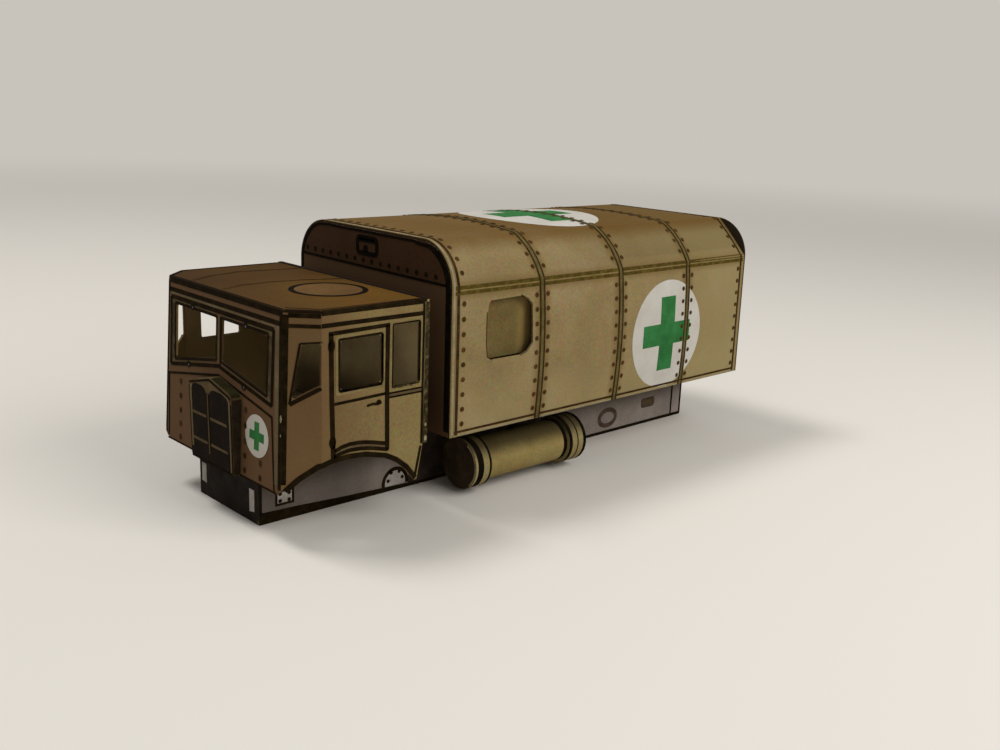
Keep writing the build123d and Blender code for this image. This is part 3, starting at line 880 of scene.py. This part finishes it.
def drawSkinSide(word, view, look):
    skinSide = cardOf("body_skin"), view, "body_print"
    high, low = look["gutter"]
    middle = (high + low) / 2
    gutter = [(look["gutterLine"], (-0.5, z), (-59.6, z)) for z in look["gutter"]]
    pressMarks("skinGutter_" + word, skinSide, oliveInk, 1, gutter)
    between = (high - low - look["gutterLine"], (-1.2, middle), (-58.9, middle))
    pressMarks("skinGutterMiddle_" + word, skinSide, gutterInk, lines=[between])
    pressMarks("windowEdges_" + word, skinSide, brownLineInk, lines=look["windowEdges"])
    pressMarks("skinFootLine_" + word, skinSide, brownLineInk, 1, [look["footLine"]])
    pressMarks("skinPaleEdge_" + word, skinSide, paleInk, lines=[look["paleEdge"]])
    pressCross("skinDisc_" + word, "skinCross_" + word, skinSide, look["sideDisc"], look["crossAcross"],
               look["crossUp"])


def drawSkinRoof(look):
    u, v, radius = look["roofDisc"]
    long, wide = (radius * share for share in look["roofCross"])
    across, up = ((m - long, m - wide, m + wide, m + long) for m in (u, v))
    roof = cardOf("body_skin"), fromTop, "body_print"
    pressCross("roofDisc", "roofCross", roof, look["roofDisc"], across, up)


drawSkin(skinLook)
for word, side in flanks:
    drawSkinSide(word, beside(side), skinLook)
drawSkinRoof(skinLook)
print("body skin drawn")


# Rear panel: plain printed double doors, which the photograph doesn't show

rearLook = {
    "doors": ((0.15, 8.6), (-8.6, -0.15)), "doorHeights": (10.6, 27.6), "doorLine": (0.28, 0.5),
    "windowIn": 1.7, "windowHeights": (20.0, 25.6), "windowLine": (0.26, 0.8),
    "hinges": [(u, z, 0.32, 1.9, 10) for z in (13.0, 19.0, 25.0) for u in (-8.75, 8.75)],
    "handle": (0.3, (0.9, 18.4), (0.9, 16.9), (2.1, 16.9)),
    "border": (0.7, (-15.75, 9.9), (-15.6, 27.2), (-15.0, 29.2), (-13.9, 30.95), (-12.3, 32.2), (-10.6, 32.7),
               (10.6, 32.7), (12.3, 32.2), (13.9, 30.95), (15.0, 29.2), (15.6, 27.2), (15.75, 9.9)),
    "footLine": (0.4, (-15.7, 9.8), (15.7, 9.8)),
    "rivets": [(u, 10.9 + i * 1.87, 0.27) for u in (-14.2, 14.2) for i in range(9)],
}


def drawRear(look):
    panel = cardOf("body_rear"), fromRear, "body_print"
    lines = bmesh.new()
    strokes(lines, [look["border"]], gap=0.6)
    strokes(lines, [look["footLine"]])
    inward = look["windowIn"]
    for a, b in look["doors"]:
        outline(lines, oblong(a, b, *look["doorHeights"]), *look["doorLine"])
        outline(lines, oblong(a + inward, b - inward, *look["windowHeights"]), *look["windowLine"])
    for hinge in look["hinges"]:
        spot(lines, *hinge)
    strokes(lines, [look["handle"]], gap=0.3)
    press("rearDoorLines", lines, panel, lineInk, 1)
    pressMarks("rearRivets", panel, rivetInk, spots=look["rivets"])


drawRear(rearLook)


# Tanks: dark hoops and rims on the wrapped bands

tankLook = {
    "middle": (12.9, 4.0),           # out from the truck's middle line, and up
    "dark": ((-5.75, 0.95), (-7.4, 0.34), (-22.5, 0.6), (-23.85, 0.2), (-25.2, 0.55)),  # place and width
    "onTube": (-21.85, 0.62),
    "gap": 6,                        # degrees from point to point of a hoop
    "face": (3.34, 0.75),            # radius and width of the dark ring on the front end
    "glint": (3.18, range(-50, 63, 8), 0.24),  # radius, degrees and width of its pale cut edge, drawn on the lit side only: partly painted highlight
}


def drawTank(word, side, look):
    y, z = look["middle"]
    front, rear, tube = "tank_band_front_" + word, "tank_band_rear_" + word, "tank_tube_" + word
    around = partial(fromAround, (side * y, z), 8)
    *hoops, inner = [(width, (u, -180), (u, 180)) for u, width in (*look["dark"], look["onTube"])]
    bands, wound = (cardOf(front, rear), around, "tank_print"), (cardOf(tube), around, "tank_print")
    pressMarks("tankHoops_" + word, bands, blackInk, lines=hoops, gap=look["gap"])
    end = cardOf(front, tube), fromMiddle, "tank_print"
    face = bmesh.new()
    ring(face, side * y, z, *look["face"])
    press("tankFace_" + word, face, end, darkPrint)
    radius, turn, width = look["glint"]
    glint = [(side * u, v) for u, v in arc(y, z, radius, turn)]
    pressMarks("tankGlint_" + word, end, paleInk, 1, [(width, *glint)], gap=0.5)
    pressMarks("tankTubeHoop_" + word, wound, blackInk, lines=[inner], gap=look["gap"])


for word, side in flanks:
    drawTank(word, side, tankLook)
print("tanks drawn")


# Floor, light and camera

stageLook = {
    "floor": "#d2cdc4", "mottle": "#cec8bf", "distance": "#c9c4bb",
    "radius": 6.0, "fade": (0.13, 0.7),  # metres: the floor's radius, and where its fading begins and is full
}


def layStage(look):
    # A round pale floor that fades, as the eye sees it, into the tone of the studio round it
    plate = bmesh.new()
    bmesh.ops.create_circle(plate, cap_ends=True, segments=96, radius=look["radius"])
    mesh = bpy.data.meshes.new("stageFloor")
    plate.to_mesh(mesh)
    plate.free()
    floor = bpy.data.objects.new("stageFloor", mesh)
    scene.collection.objects.link(floor)
    # Matt studio paper with the faintest mottle
    material = bpy.data.materials.new("studioPaper")
    material.use_nodes = True
    tree = material.node_tree
    add = partial(addNode, tree)
    spot = add("TexCoord").outputs["Object"]
    mottle = add("TexNoise", {"Vector": spot}, {"Scale": 3.0, "Detail": 2})
    tone = add("Mix", {0: mottle}, {6: srgb(look["floor"]), 7: srgb(look["mottle"])}, data_type="RGBA")
    paper = tree.nodes["Principled BSDF"]
    tree.links.new(tone.outputs[2], paper.inputs["Base Color"])
    paper.inputs["Roughness"].default_value = 0.9
    away = add("VectorMath", {0: spot}, operation="LENGTH").outputs["Value"]
    begins, full = look["fade"]
    faded = add("MapRange", {0: away}, {1: begins, 2: full}, interpolation_type="SMOOTHSTEP")
    seen = add("Math", {0: faded, 1: add("LightPath").outputs["Is Camera Ray"]}, operation="MULTIPLY")
    glow = add("Emission", {}, {"Color": srgb(look["distance"])})
    blend = add("MixShader", {0: seen, 1: paper, 2: glow})
    tree.links.new(blend.outputs[0], tree.nodes["Material Output"].inputs["Surface"])
    mesh.materials.append(material)


lightLook = {
    "fill": 0.4,
    "aim": (0, 0, 0.015),
    "lamps": {
        "key": {"azimuth": 106, "height": 36, "far": 0.36, "size": 0.22, "watts": 0.87},
        "far": {"azimuth": -58, "height": 62, "far": 0.5, "size": 0.14, "watts": 1.35},
    },
}


def lightStage(look, distance):
    # An even white light round the model, which the eye and the reflections see as the studio's tone
    world = bpy.data.worlds.new("studio")
    scene.world = world
    world.use_nodes = True
    tree = world.node_tree
    add = partial(addNode, tree)
    path = add("LightPath").outputs
    seen = add("Math", {0: path["Is Camera Ray"], 1: path["Is Glossy Ray"]}, operation="MAXIMUM")
    clear = add("Math", {0: seen, 1: path["Is Transmission Ray"]}, operation="MAXIMUM")
    strength = add("MapRange", {0: clear}, {3: look["fill"]})
    tone = add("Mix", {0: clear}, {6: (1, 1, 1, 1), 7: srgb(distance)}, data_type="RGBA")
    background = tree.nodes["Background"]
    tree.links.new(tone.outputs[2], background.inputs["Color"])
    tree.links.new(strength.outputs[0], background.inputs["Strength"])
    aim = Vector(look["aim"])
    for name, lamp in look["lamps"].items():
        light = bpy.data.lights.new(name, "AREA")
        light.energy, light.size = lamp["watts"], lamp["size"]
        holder = bpy.data.objects.new(name, light)
        scene.collection.objects.link(holder)
        around, up = radians(lamp["azimuth"]), radians(lamp["height"])
        holder.location = Vector((cos(around) * cos(up), sin(around) * cos(up), sin(up))) * lamp["far"] + aim
        holder.rotation_euler = (aim - holder.location).to_track_quat("-Z", "Y").to_euler()


# Where the photograph was taken from, fitted to the long edges of body, cab and chassis
cameraLook = {
    "at": (0.10056636, 0.11066815, 0.04960465), "turn": (75.5826, -2.3244, 136.8565),
    "lens": 38.466, "sensor": 36, "clip": (0.001, 20),
}


def aimCamera(look):
    camera = bpy.data.cameras.new("camera")
    camera.lens, camera.sensor_width = look["lens"], look["sensor"]
    camera.clip_start, camera.clip_end = look["clip"]
    holder = bpy.data.objects.new("camera", camera)
    scene.collection.objects.link(holder)
    holder.location = look["at"]
    holder.rotation_euler = [radians(t) for t in look["turn"]]
    scene.camera = holder


layStage(stageLook)
lightStage(lightLook, stageLook["distance"])
aimCamera(cameraLook)
scene.view_settings.view_transform = "Standard"
print("stage, lamps and camera set")
